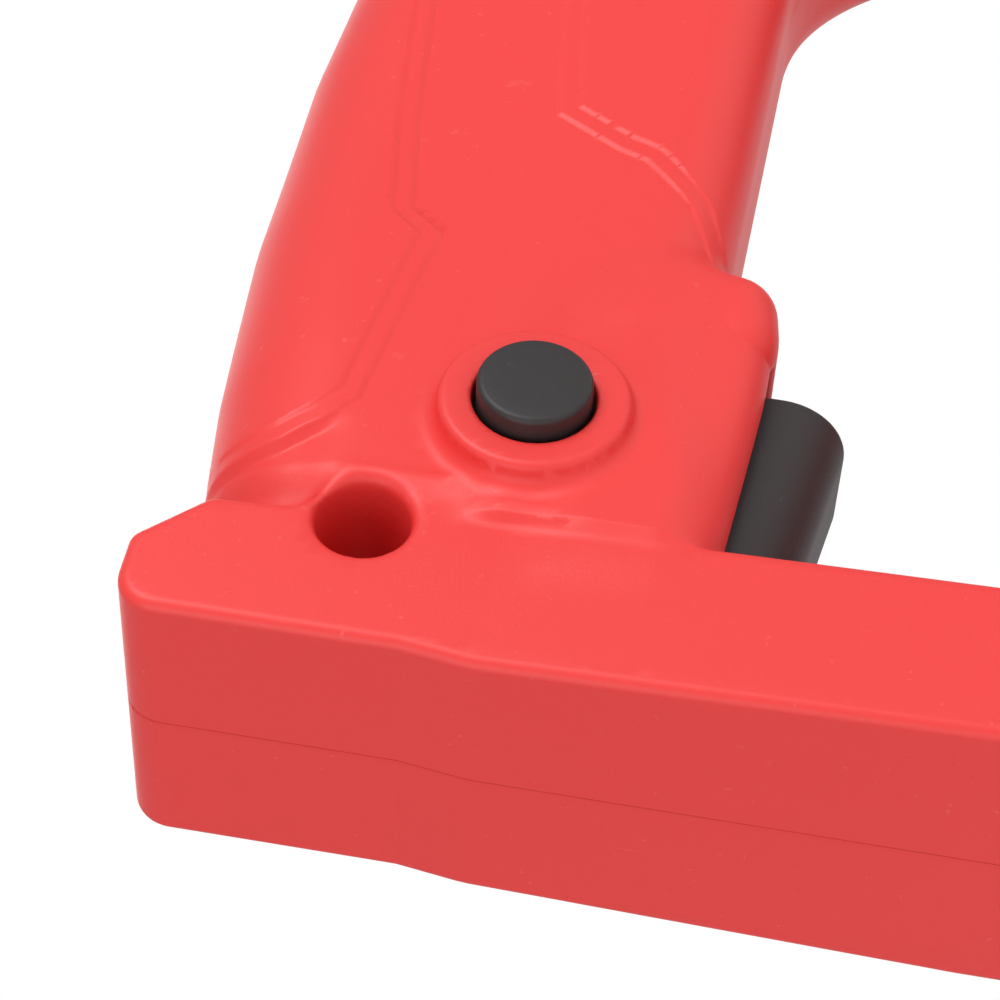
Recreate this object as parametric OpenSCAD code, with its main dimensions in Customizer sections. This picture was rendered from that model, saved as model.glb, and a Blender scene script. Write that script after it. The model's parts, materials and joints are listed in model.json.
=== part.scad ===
// Mains staple gun: two moulded shells with a closed D handle, a solenoid striker in the tower,
// a trigger with a side lock button, and a staple magazine that draws out at the rear.
// Frame: +Z up, +X to the rear, Y = 0 on the plane where the shells meet, Z = 0 on the face it stands on.

/* [Body] */
// Length of the shells, from the tower's front face to the back of the rear column
body_len = 185; // [170:1:225]
// Height of the head above the face the gun stands on
body_h = 194.7; // [186:1:235]
// Thickness of the head, across both shells
head_w = 37; // [34:0.5:42]
// Thickness of the tower low down, where the solenoid sits
tower_w = 40.6; // [40:0.5:46]
// Thickness of the handle at its fullest
handle_w = 35; // [32:0.5:38]
// Wall of the shells
wall = 2.5; // [2:0.1:3]
// How far the tower's lower front stands ahead of the head
brow_step = 1; // [0.5:0.1:2]
// Depth of the tower's neck, front to back
neck_depth = 19.2; // [18:0.1:24]
// Depth of the solenoid block, front to back
block_depth = 44.9; // [43:0.1:52]
// Height of the solenoid block's shoulder
block_top = 102; // [99:0.5:112]
// Height of the shells' underside
shell_floor = 24; // [22:0.5:28]
// Height of the lower beam's top
beam_top = 46; // [44:0.5:52]
// Depth of the rear column
column_depth = 25; // [22:0.5:30]

/* [Handle] */
// Head's top above the handle's lower line
handle_depth = 56; // [50:0.5:60]
// Radius of the arch along the handle's back
arch_r = 372; // [300:1:600]
// Corner inside the D opening, below the handle's rear
bow_r = 34; // [20:1:38]
// How far the trigger lug hangs below the handle's lower line
lug_drop = 6; // [4:0.5:9]
// Length of the trigger lug behind the neck
lug_len = 42; // [38:0.5:48]

/* [Lock button] */
// Button's axis below the head's top
button_drop = 36.7; // [34:0.1:40]
// Button's axis behind the tower's front face
button_back = 32.9; // [31:0.1:36]
// Button's radius
button_r = 6; // [5:0.1:7]
// Gap round the button
button_gap = 0.45; // [0.3:0.05:0.6]
// Radius of the raised ring round the button
boss_r = 10; // [9.5:0.1:12]
// Ring's top above the shell
boss_rise = 3.9; // [3:0.1:5]
// Button's top above the ring, which is also its travel
button_proud = 2.5; // [1.5:0.1:3]

/* [Trigger] */
// Trigger's length, front to back
trigger_len = 24.9; // [22:0.1:27]
// Trigger's width
trigger_w = 24; // [20:0.5:26]
// Trigger's lowest point below the lug
trigger_proud = 7.3; // [5:0.1:9]
// Swing of the trigger, in degrees
trigger_swing = 10; // [6:1:12]
// Radius of the trigger's pin
trigger_pin_r = 1.6; // [1.2:0.1:2]

/* [Hanging hole] */
// Radius of the hole through the head
hang_r = 4.9; // [4:0.1:5.5]
// Hole's axis below the head's top
hang_drop = 22.2; // [20:0.1:25]
// Hole's axis behind the tower's front face
hang_back = 16.6; // [15:0.1:18]

/* [Striker] */
// Travel of the striker
stroke = 16; // [12:1:16]
// Radius of the steel plunger
plunger_r = 8; // [7:0.1:8.5]
// Outer radius of the winding
coil_r = 15.5; // [14:0.1:16]
// Height of the yoke, over its end plates
yoke_h = 38; // [34:0.5:38]
// Driver blade's width
blade_w = 11; // [9:0.5:12]
// Driver blade's thickness
blade_t = 1.2; // [1:0.1:1.5]
// Height of the blade's tip at rest
tip_rest = 17; // [16.5:0.1:18]

/* [Magazine] */
// Width of the magazine channel
channel_w = 22; // [20:0.5:26]
// Sheet thickness of the channel and the drawer
sheet = 1.5; // [1.2:0.1:1.6]
// Length of the drawer's plastic end
end_len = 16; // [15:0.5:20]
// How far the drawer draws out
draw_out = 100; // [60:5:110]
// Length of the staple pusher
pusher_len = 16; // [12:1:20]
// Travel of the pusher
pusher_travel = 95; // [60:5:100]
// Swing of the rear latch, in degrees
latch_swing = 14; // [8:1:16]

/* [Fasteners] */
// Radius of the shell screws' shank
screw_r = 1.5; // [1.2:0.1:2]
// Radius of the shell screws' head
screw_head_r = 3.2; // [2.8:0.1:3.6]
// Outer radius of the screw posts
post_r = 4.4; // [4.2:0.1:5]

/* [Cord inlet] */
// Radius of the hole for the mains lead
cord_r = 3.5; // [2.5:0.1:4]
// Height of the inlet
inlet_z = 64; // [60:1:90]

/* [Hidden] */
$fn = 64;

running = 0.05;   // radial clearance of a pin or slide in its bore
easy = 0.3;       // clearance between pieces that only sit beside each other
slide_gap = 0.4;  // gap round the trigger in its slot
red = [0.86, 0.12, 0.11];
black = [0.07, 0.06, 0.06];
steel = [0.62, 0.63, 0.65];
copper = [0.72, 0.40, 0.20];
rubber = [0.12, 0.12, 0.12];

// stations along X
nose_plate_t = 2;
front = -body_len / 2 + nose_plate_t / 2;
rear = front + body_len;
neck_back = front + neck_depth;
block_back = front + block_depth;
column_front = rear - column_depth;
button_x = front + button_back;
hang_x = front + hang_back;
lug_back = neck_back + lug_len;
sol_x = front + block_depth / 2;
blade_x = front + 3.4;

// stations along Z
handle_low = body_h - handle_depth;
lug_low = handle_low - lug_drop;
button_z = body_h - button_drop;
hang_z = body_h - hang_drop;
shell_in = shell_floor + wall;
beam_in = beam_top - wall;

// half thicknesses
head_y = head_w / 2;
tower_y = tower_w / 2;
handle_y = handle_w / 2;
beam_y = tower_y;

// striker heights
tab_t = 2.5;
tab_low = 48;
tab_top = tab_low + tab_t;
yoke_low = tab_top + 1;
yoke_top = yoke_low + yoke_h;
yoke_plate = 3;
plunger_top = yoke_top + 2.5;
bumper_t = 4;
bore_r = plunger_r + 0.08;
bobbin_wall = 1.2;
flange_t = 1.2;

// trigger
trigger_front = neck_back + 4.2;
trigger_back = trigger_front + trigger_len;
trigger_low = lug_low - trigger_proud;
pivot_x = trigger_front + 5.5;
pivot_z = lug_low + 12.3;
pad_z = pivot_z + 1;
pad_x = trigger_back - 5;
trigger_spring_x = pad_x - 8.5;
trigger_spring_top = pad_z + 6.2;
slot_front = trigger_front - slide_gap;
swing_reach = (pivot_z - trigger_low) * sin(trigger_swing);
slot_back = trigger_back + swing_reach;

// lock button
boss_top = head_y + boss_rise;
button_top = boss_top + button_proud;
flange_y = head_y + 1;
seat_y = 8;
hub_r = 3.4;

// magazine
channel_top = shell_floor;
channel_front = front + 9.4;
channel_back = rear - end_len - easy;
rod_z = 18.4;
rod_r = 1.5;
rail_w = 8;
rail_top = 13;
drawer_y = channel_w / 2 - sheet - 0.35;
pusher_front = channel_front + 2;
latch_x = rear - 4.5;
latch_z = channel_top - 5.7;
latch_y = 3;

// shell screws, [x, z]
screws = [[front + 8, body_h - 9], [front + 9, button_z - 33], [block_back - 5.2, shell_in + 6],
    [button_x + 44, body_h - 8], [column_front - 4, body_h - 18], [rear - 8.5, handle_low - 34],
    [rear - 9, shell_in + 7]];

// ---- shared shapes ----

// a flat outline in X and Z, made solid between two places along Y
module across(y0, y1) translate([0, y1, 0]) rotate([90, 0, 0]) linear_extrude(y1 - y0) children();

// a flat outline in Y and Z, made solid between two places along X
module along(x0, x1) translate([x0, 0, 0]) rotate([90, 0, 90]) linear_extrude(x1 - x0) children();

// a block with its low and high corners
module block(low, high) translate(low) cube(high - low);

// a pin along Y
module pin_y(x, z, r, y0, y1) translate([x, y1, z]) rotate([90, 0, 0]) cylinder(r = r, h = y1 - y0);

// a pin along X
module pin_x(y, z, r, x0, x1) translate([x0, y, z]) rotate([0, 90, 0]) cylinder(r = r, h = x1 - x0);

// a rectangle with round corners, its edge moved in by i
module round_box(x0, x1, z0, z1, r, i = 0) {
    c = max(r - i, 0.4);
    for (x = [x0 + i + c, x1 - i - c], z = [z0 + i + c, z1 - i - c]) translate([x, z]) circle(c);
    translate([x0 + i + c, z0 + i]) square([x1 - x0 - 2 * i - 2 * c, z1 - z0 - 2 * i]);
    translate([x0 + i, z0 + i + c]) square([x1 - x0 - 2 * i, z1 - z0 - 2 * i - 2 * c]);
}

// a straight wire from one point to the next, with round joints
module wire(points, r) {
    for (k = [0 : len(points) - 2]) {
        d = points[k + 1] - points[k];
        n = norm(d);
        translate(points[k])
            rotate([0, acos(d.z / n), atan2(d.y, d.x)]) cylinder(r = r, h = n, $fn = 24);
        if (k > 0) translate(points[k]) sphere(r = r * 1.05, $fn = 24);
    }
}

// a round-wire spring along Z, standing as a stack of closed rings
module ring_spring(r, wire_r, length, turns) {
    pitch = (length - 2 * wire_r) / (turns - 1);
    for (k = [0 : turns - 1]) translate([0, 0, wire_r + k * pitch])
        rotate_extrude() translate([r, 0]) circle(wire_r, $fn = 24);
    for (k = [0 : turns - 2]) rotate([0, 0, 180 * (k % 2)]) translate([r, 0, wire_r + k * pitch])
        cylinder(r = wire_r * 0.8, h = pitch, $fn = 24);
}

// ---- the shells' side outline, its edge moved in by i ----

module tower_outline(i = 0) {
    round_box(front, neck_back, shell_floor, button_z + 8, 4, i);
    round_box(front + brow_step, neck_back - 1, button_z - 20, body_h, 5, i);
    round_box(front, block_back, shell_floor, block_top, 7, i);
}

module handle_outline(i = 0) {
    arch_x = button_x + 43;
    intersection() {
        round_box(neck_back - 12, rear, handle_low, body_h + 1, 26, i);
        translate([arch_x, body_h - arch_r]) circle(arch_r - i, $fn = 180);
    }
    round_box(neck_back - 12, lug_back, lug_low, body_h - 20, 4, i);
    round_box(column_front, rear, shell_floor, body_h - 30, 7, i);
    difference() {
        translate([column_front - bow_r, handle_low - bow_r]) square(bow_r + 2 * i + 1);
        translate([column_front - bow_r, handle_low - bow_r]) circle(bow_r + i);
    }
}

module beam_outline(i = 0) round_box(front, rear, shell_floor, beam_top, 7, i);

// the tower's faces lean out towards the nose, its half thickness less i
module tower_flanks(i = 0) {
    y_top = head_y - i;
    y_low = tower_y - i;
    z_top = button_z + 9;
    z_low = button_z - 50;
    polygon([[-y_top, body_h + 1], [-y_top, z_top], [-y_low, z_low], [-y_low, 0],
             [y_low, 0], [y_low, z_low], [y_top, z_top], [y_top, body_h + 1]]);
}

// everything inside the outline, both shells together
module body_solid(i = 0) {
    intersection() {
        across(-tower_y, tower_y) tower_outline(i);
        along(front - 1, rear + 1) tower_flanks(i);
    }
    across(-handle_y + i, handle_y - i) handle_outline(i);
    across(-beam_y + i, beam_y - i) beam_outline(i);
    // fuller root of the handle, round the button
    across(-head_y + i, head_y - i)
        round_box(neck_back - 12, lug_back, lug_low, body_h - 10, 9, i);
}

// the posts, ribs and tubes that stand inside the shells
module inner_posts() {
    for (s = screws) pin_y(s.x, s.y, post_r, -tower_y, tower_y);
    pin_y(hang_x, hang_z, hang_r + wall, -head_y + 1, head_y - 1);
    // walls beside the trigger pin
    for (s = [-1, 1]) pin_y(pivot_x, pivot_z, 4, s > 0 ? trigger_w / 2 + 0.2 : -head_y + 1,
        s > 0 ? head_y - 1 : -trigger_w / 2 - 0.2);
    // shelf over the trigger spring
    block([trigger_spring_x - 3, 3.6, trigger_spring_top], [trigger_spring_x + 3, head_y, trigger_spring_top + 2]);
    // shelf over the striker
    block([sol_x - plunger_r, -tower_y + 2, plunger_top + bumper_t + 0.2],
          [sol_x + plunger_r, tower_y - 2, plunger_top + bumper_t + 2.4]);
}

// what is cut from both shells
module shell_cuts() {
    for (s = screws) {
        pin_y(s.x, s.y, screw_r + running, -handle_y + 6, tower_y + 1);
        pin_y(s.x, s.y, screw_head_r + easy, handle_y - 8, tower_y + 1);
    }
    pin_y(hang_x, hang_z, hang_r, -tower_y - 1, tower_y + 1);
    block([slot_front, -trigger_w / 2 - slide_gap, lug_low - 1],
          [slot_back, trigger_w / 2 + slide_gap, lug_low + wall + 2]);
    pin_y(pivot_x, pivot_z, trigger_pin_r + running, -trigger_w / 2 - 4, trigger_w / 2 + 4);
    // driver blade's way out, and the slots that hold the magazine's ears
    block([blade_x - 1.6, -blade_w / 2 - 1, shell_floor - 1], [blade_x + 1.6, blade_w / 2 + 1, shell_in + 1]);
    for (x = ear_places()) block([x - 4.2, -sheet - 0.1, shell_floor - 1], [x + 4.2, sheet + 0.1, shell_in + 1]);
    // cord inlet
    pin_x(0, inlet_z, gland_r + running, rear - wall - 1, rear + 1);
    pin_x(0, inlet_z, gland_flange_r + running, rear - gland_flange_t, rear + 1);
    // cooling slots
    for (k = [0 : vent_count - 1])
        block([sol_x - vent_len / 2, -tower_y - 1, vent_low + k * vent_pitch],
              [sol_x + vent_len / 2, tower_y + 1, vent_low + k * vent_pitch + vent_gap]);
}
vent_count = 5;
vent_len = 22;
vent_gap = 2.2;
vent_pitch = 5.5;
vent_low = yoke_low + 6;
gland_r = 6.5;
gland_flange_r = 8.5;
gland_flange_t = 1.2;
function ear_places() = [block_back + 12, column_front - 6];

module both_shells() {
    difference() {
        union() {
            difference() {
                body_solid();
                body_solid(wall);
            }
            intersection() {
                body_solid(0.5);
                inner_posts();
            }
        }
        shell_cuts();
    }
}

// ---- shells ----

module left_housing() color(red) {
    difference() {
        union() {
            intersection() {
                both_shells();
                block([front - 5, -tower_y - 5, 0], [rear + 5, 0, body_h + 5]);
            }
            pin_y(button_x, button_z, boss_r, -boss_top, -seat_y);
        }
        pin_y(button_x, button_z, button_r + button_gap, -boss_top - 1, -seat_y - 2);
        pin_y(button_x, button_z, button_r + 1.9, -flange_y - 0.1, -seat_y - 2);
        pin_y(button_x, button_z, 2.9, -seat_y - 3, 1);
    }
}

module right_housing() color(red) intersection() {
    both_shells();
    block([front - 5, 0, 0], [rear + 5, tower_y + 5, body_h + 5]);
}

module housing_screws() color(steel) for (s = screws) {
    pin_y(s.x, s.y, screw_r, -handle_y + 7, handle_y - 7.9);
    difference() {
        pin_y(s.x, s.y, screw_head_r, handle_y - 8, handle_y - 5.6);
        translate([s.x, handle_y - 5.6, s.y]) for (a = [0, 90]) rotate([0, a, 0])
            cube([screw_head_r * 1.3, 2.4, 0.7], center = true);
    }
}

// ---- trigger and lock ----

module trigger() color(black) {
    r = 4;
    low = trigger_low;
    difference() {
        union() {
            across(-trigger_w / 2, trigger_w / 2) {
                polygon([[trigger_front, lug_low + 1.5], [trigger_front, low + 3.4],
                    [trigger_front + 1.5, low + 2], [trigger_back - 8, low], [trigger_back - r, low + 0.2],
                    [trigger_back - r, low + r], [trigger_back, low + r], [trigger_back, lug_low + 1.5]]);
                translate([trigger_back - r, low + r]) circle(r - 0.02);
            }
            // web that carries the pivot and the pad under the switch
            across(-trigger_w / 2 + 3, trigger_w / 2 - 3) {
                polygon([[trigger_front + 1, lug_low + 1], [trigger_back - 0.5, lug_low + 1],
                    [trigger_back - 0.5, pad_z - 3], [pad_x + 2, pad_z], [pad_x - 4, pad_z],
                    [pivot_x + 2, pad_z - 2], [pivot_x - 3.4, pivot_z - 2]]);
                translate([pivot_x, pivot_z]) circle(hub_r);
            }
        }
        pin_y(pivot_x, pivot_z, trigger_pin_r + running, -trigger_w, trigger_w);
    }
}

module trigger_pin() color(steel) pin_y(pivot_x, pivot_z, trigger_pin_r, -trigger_w / 2 - 3, trigger_w / 2 + 3);

module trigger_spring() color(steel) translate([trigger_spring_x, 6, pad_z + 0.1])
    ring_spring(2, 0.3, trigger_spring_top - pad_z - 0.15, 6);

module lock_button() color(black) {
    pin_y(button_x, button_z, button_r, -button_top, -flange_y + 2);
    pin_y(button_x, button_z, button_r + 1.5, -flange_y, -flange_y + 2);
    pin_y(button_x, button_z, 2.6, -flange_y + 1.9, -seat_y + 1);
}

module lock_spring() color(steel) translate([button_x, -flange_y + 2.05, button_z])
    rotate([-90, 0, 0]) ring_spring(4.2, 0.35, flange_y - 2.1 - seat_y - 2, 5);

switch_h = 10;
switch_travel = (pad_x - pivot_x) * sin(trigger_swing);
switch_low = pad_z + switch_travel + 0.8;
module microswitch() color(black) difference() {
    block([pad_x - 14, -3.2, switch_low], [pad_x + 6, 3.2, switch_low + switch_h]);
    translate([pad_x, 0, switch_low - 1]) cylinder(r = 1.6, h = switch_travel + 4.5);
    for (x = [pad_x - 11, pad_x + 3.5]) pin_y(x, switch_low + 7, 1.1, -4, 4);
}

module switch_button() color([0.75, 0.1, 0.1])
    translate([pad_x, 0, pad_z + 0.5]) cylinder(r = 1.5, h = switch_travel + 2.3);

// ---- striker ----

module at_solenoid(z) translate([sol_x, 0, z]) children();

module coil_bobbin() color([0.9, 0.88, 0.8]) at_solenoid(yoke_low + yoke_plate + 0.1) {
    h = yoke_h - 2 * yoke_plate - 0.2;
    difference() {
        union() {
            cylinder(r = bore_r + bobbin_wall, h = h);
            cylinder(r = coil_r + 0.8, h = flange_t);
            translate([0, 0, h - flange_t]) cylinder(r = coil_r + 0.8, h = flange_t);
        }
        translate([0, 0, -1]) cylinder(r = bore_r, h = h + 2);
    }
}

module solenoid_coil() color(copper) at_solenoid(yoke_low + yoke_plate + flange_t + 0.15) {
    h = yoke_h - 2 * yoke_plate - 2 * flange_t - 0.3;
    difference() {
        cylinder(r = coil_r, h = h);
        translate([0, 0, -1]) cylinder(r = bore_r + bobbin_wall + 0.05, h = h + 2);
    }
}

module yoke() color(steel) {
    x = block_depth / 2 - wall - easy;
    y = 13;
    difference() {
        block([sol_x - x, -y, yoke_low], [sol_x + x, y, yoke_top]);
        block([sol_x - x + 2, -y - 1, yoke_low + yoke_plate], [sol_x + x - 2, y + 1, yoke_top - yoke_plate]);
        at_solenoid(yoke_low - 1) cylinder(r = bore_r + 0.3, h = yoke_h + 2);
    }
}

stem_r = 3;
module plunger() color(steel) at_solenoid(0) {
    translate([0, 0, tab_top + 0.02]) cylinder(r = plunger_r, h = plunger_top - tab_top);
    translate([0, 0, tab_low - 1]) cylinder(r = stem_r, h = tab_t + 1.2);
    translate([0, 0, tab_low - 1.8]) cylinder(r = stem_r + 1.1, h = 1.75);
}

module driver_blade() color(steel) difference() {
    union() {
        block([blade_x - blade_t / 2, -blade_w / 2, tip_rest], [blade_x + blade_t / 2, blade_w / 2, tab_top]);
        block([blade_x, -blade_w / 2, tab_low], [sol_x, blade_w / 2, tab_top]);
        at_solenoid(tab_low) cylinder(r = blade_w / 2 + 1.5, h = tab_t);
    }
    at_solenoid(tab_low - 1) cylinder(r = stem_r + 0.02, h = tab_t + 2);
}

return_r = 5.4;
module return_spring() color(steel) at_solenoid(shell_in + 0.1)
    ring_spring(return_r, 0.45, tab_low - shell_in - 0.2, 5);

module bottom_bumper() color(rubber) at_solenoid(shell_in + 0.05) difference() {
    h = tab_low - stroke - shell_in - 0.15;
    cylinder(r = return_r + 4, h = h);
    translate([0, 0, -1]) cylinder(r = return_r + 0.9, h = h + 2);
}

module top_bumper() color(rubber) at_solenoid(plunger_top + 0.15) cylinder(r = 6.5, h = bumper_t);

// ---- nose ----

nose_y = 10;
module nose_guide() color(steel) difference() {
    block([front, -nose_y, 0], [channel_front - 0.2, nose_y, shell_floor - 0.05]);
    block([blade_x - blade_t / 2 - 0.1, -blade_w / 2 - 0.1, -1],
          [blade_x + blade_t / 2 + 0.1, blade_w / 2 + 0.1, shell_floor + 1]);
    // way in for the staples
    block([blade_x, -blade_w / 2 - 0.1, 2], [channel_front + 1, blade_w / 2 + 0.1, tip_rest - 0.5]);
    for (s = [-1, 1]) pin_x(s * 7.6, 18.5, 1.05, front - 1, front + 7);
}

module nose_plate() color(steel) difference() {
    union() {
        block([front - nose_plate_t, -nose_y, 1], [front, nose_y, 40]);
        block([front - nose_plate_t, -nose_y + 2, 0], [front, nose_y - 2, 1.5]);
    }
    for (s = [-1, 1]) pin_x(s * 7.6, 18.5, 1.1, front - 5, front + 5);
    // sight notch
    block([front - nose_plate_t - 1, -1, -1], [front - nose_plate_t + 0.8, 1, 9]);
}

module nose_screws() color(steel) for (s = [-1, 1]) {
    pin_x(s * 7.6, 18.5, 1, front - nose_plate_t, front + 6);
    pin_x(s * 7.6, 18.5, 2.1, front - nose_plate_t - 0.9, front - nose_plate_t);
}

// ---- magazine ----

module magazine_channel() color(steel) {
    y = channel_w / 2;
    difference() {
        block([channel_front, -y, 1.6], [channel_back, y, channel_top - 0.02]);
        block([channel_front - 1, -y + sheet, 0], [channel_back + 1, y - sheet, channel_top - sheet]);
    }
    // tongue with the window that the latch sits under
    difference() {
        block([channel_back - 1, -latch_y, channel_top - sheet], [latch_x - 2.6, latch_y, channel_top - 0.02]);
        block([latch_x - 8.3, -latch_y + 0.8, channel_top - sheet - 1],
              [latch_x - 4.7, latch_y - 0.8, channel_top + 1]);
    }
    for (x = ear_places()) block([x - 4, -sheet, channel_top - 1], [x + 4, sheet, channel_top + 8]);
}

module magazine_drawer() color(steel) {
    x0 = channel_front + 0.2;
    x1 = channel_back + 2;
    difference() {
        block([x0, -drawer_y, 0], [x1, drawer_y, 9]);
        block([x0 - 1, -drawer_y + sheet, 1.2], [x1 + 1, drawer_y - sheet, 10]);
    }
    // rail that the staples straddle
    difference() {
        block([x0, -rail_w / 2, 1], [x1, rail_w / 2, rail_top]);
        block([x0 - 1, -rail_w / 2 + 1, 1.2], [x1 + 1, rail_w / 2 - 1, rail_top - 1]);
    }
}

module drawer_end() color(black) {
    x0 = channel_back + easy;
    y = channel_w / 2;
    difference() {
        union() {
            block([x0, -y, 0.4], [rear, y, channel_top - 0.4]);
            block([channel_back - 6, -2.6, rod_z - 3.2], [x0 + 1, 2.6, rod_z + 2.4]);
        }
        // socket for the drawer's rear end
        block([x0 - 1, -drawer_y - 0.05, -1], [channel_back + 2.1, drawer_y + 0.05, 9.05]);
        block([x0 - 1, -rail_w / 2 - 0.05, -1], [channel_back + 2.1, rail_w / 2 + 0.05, rail_top + 0.05]);
        pin_x(0, rod_z, rod_r + 0.02, channel_back - 7, x0 + 2.6);
        // groove for the channel's tongue, pocket for the latch, and its finger hollow
        block([x0 - 1, -latch_y - easy, channel_top - sheet - easy], [rear + 1, latch_y + easy, channel_top + 1]);
        block([latch_x - 8.3, -latch_y - easy, latch_z - 5.5], [rear + 1, latch_y + easy, channel_top + 1]);
        block([latch_x - 2.4, -latch_y - easy, 2.6], [rear + 1, latch_y + easy, channel_top + 1]);
        pin_y(latch_x, latch_z, 1.02, -y - 1, y + 1);
    }
}

module pusher_rod() color(steel) pin_x(0, rod_z, rod_r, pusher_front + 2, channel_back + easy + 2.6);

module staple_pusher() color(steel) difference() {
    x1 = pusher_front + pusher_len;
    union() {
        block([pusher_front, -5.3, 2.4], [x1, 5.3, 16]);
        pin_x(0, rod_z, 3.2, pusher_front, x1);
    }
    block([pusher_front - 1, -rail_w / 2 - 0.15, 0], [x1 + 1, rail_w / 2 + 0.15, rail_top + 0.2]);
    pin_x(0, rod_z, rod_r + running, pusher_front - 1, x1 + 1);
}

module pusher_spring() color(steel) {
    x0 = pusher_front + pusher_len + 0.1;
    translate([x0, 0, rod_z]) rotate([0, 90, 0])
        ring_spring(2.1, 0.3, channel_back - 6.2 - x0, 28);
}

module drawer_latch() color(black) difference() {
    union() {
        across(-latch_y, latch_y) translate([latch_x, latch_z]) circle(3);
        // arm with its tooth, which stands just under the channel's tongue
        across(-latch_y, latch_y) polygon([[latch_x - 7.8, latch_z - 1.6], [latch_x, latch_z - 1.6], [latch_x, latch_z + 1.6],
            [latch_x - 5, latch_z + 1.6], [latch_x - 5, latch_z + 3.9], [latch_x - 7, latch_z + 3.9],
            [latch_x - 7.8, latch_z + 1.6]]);
        // tail that a finger pulls back
        across(-latch_y, latch_y) polygon([[latch_x - 1.8, latch_z], [latch_x + 2, latch_z], [latch_x + 2, 8.5], [latch_x + 3.8, 5.4],
            [latch_x + 3, 4], [latch_x + 0.5, 4.6], [latch_x - 1, 8]]);
    }
    pin_y(latch_x, latch_z, 1 + running, -5, 5);
}

module latch_pin() color(steel) pin_y(latch_x, latch_z, 1, -channel_w / 2 + 1, channel_w / 2 - 1);

module latch_spring() color(steel) translate([latch_x - 5.6, 0, latch_z - 5.45])
    ring_spring(1.4, 0.25, 3.8, 4);

// ---- electrics ----

board_x0 = block_back + 22;
board_x1 = column_front - 16;
board_z = shell_in + 3.5;
module control_board() color([0.1, 0.35, 0.15]) difference() {
    block([board_x0, -13, board_z], [board_x1, 13, board_z + 1.6]);
    for (x = [board_x0 + 4, board_x1 - 4], y = [-9.5, 9.5])
        translate([x, y, board_z - 1]) cylinder(r = 1.5, h = 4);
}

module smoothing_capacitor() color([0.15, 0.2, 0.45])
    pin_x(-5, board_z + 1.6 + 5.6, 5.5, board_x0 + 6, board_x0 + 28);

module thyristor() color(black)
    block([board_x0 + 34, 1, board_z + 1.65], [board_x0 + 44, 5.5, board_z + 11]);

module heat_sink() color([0.7, 0.7, 0.72]) {
    block([board_x0 + 31, 5.6, board_z + 1.65], [board_x0 + 47, 7.2, board_z + 11.5]);
    for (k = [0 : 3]) block([board_x0 + 31.5 + k * 4.8, 7.1, board_z + 1.65],
        [board_x0 + 32.7 + k * 4.8, 11.5, board_z + 11.5]);
}

module terminal_block() color([0.9, 0.9, 0.85]) difference() {
    block([board_x1 - 18, -8, board_z + 1.65], [board_x1 - 8, 8, board_z + 11]);
    for (y = [-5, 0, 5]) pin_x(y, board_z + 5, 1.3, board_x1 - 19, board_x1 - 7);
}

module coil_leads() color([0.1, 0.1, 0.1]) for (s = [-1, 1])
    wire([[sol_x + coil_r - 3, s * 14.4, yoke_low + 6], [sol_x + coil_r - 3, s * 14.6, beam_in - 1.5],
        [block_back + 4, s * 12, beam_in - 3], [board_x0 - 1, s * 6, board_z + 2.4]], 0.9);

module switch_leads() color([0.85, 0.85, 0.8]) for (s = [-1, 1])
    wire([[pad_x + 3, s * 1.8, switch_low + switch_h + 1], [pad_x + 8, s * 2.2, switch_low + switch_h + 5],
        [column_front - 12, s * 2.2, handle_low + 20], [column_front + 7, s * 2.2, handle_low - 4],
        [column_front + 7, s * 5, beam_top - 6], [board_x1 + 4, s * 5, board_z + 5]], 0.9);

module mains_leads() color([0.35, 0.2, 0.1]) for (s = [-1, 1])
    wire([[rear - wall - 7.5, s * 1.6, inlet_z], [rear - wall - 9, s * 1.8, inlet_z - 3],
        [rear - 14, s * 1.8, beam_top - 2], [board_x1 + 2, s * 1.8, board_z + 5]], 1);

module cord_gland() color(black) difference() {
    union() {
        pin_x(0, inlet_z, gland_r, rear - wall - 5, rear - gland_flange_t + 0.02);
        pin_x(0, inlet_z, gland_flange_r, rear - gland_flange_t + 0.01, rear);
    }
    pin_x(0, inlet_z, cord_r, rear - wall - 6, rear + 1);
}

left_housing();
right_housing();
housing_screws();
trigger();
trigger_pin();
trigger_spring();
lock_button();
lock_spring();
microswitch();
switch_button();
solenoid_coil();
coil_bobbin();
yoke();
plunger();
driver_blade();
return_spring();
top_bumper();
bottom_bumper();
nose_plate();
nose_guide();
nose_screws();
magazine_channel();
magazine_drawer();
drawer_end();
pusher_rod();
staple_pusher();
pusher_spring();
drawer_latch();
latch_pin();
latch_spring();
control_board();
smoothing_capacitor();
thyristor();
heat_sink();
terminal_block();
coil_leads();
switch_leads();
mains_leads();
cord_gland();
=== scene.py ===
# %% [markdown]
# A mains staple gun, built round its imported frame. The frame holds every working piece at its real
# size and place. This script gives the pieces their looks: the two moulded shells, the trigger and
# the lock button are modelled here in mesh code, and the rest keep their solids and get finishes.
# Everything is in metres in the frame; inside the modelling helpers the unit is the millimetre,
# counted from the lock button's axis, because that is how the shape is drawn.

# %% load the frame
import bpy
import bmesh
import math
import json
import numpy as np
from mathutils import Matrix, Vector


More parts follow.
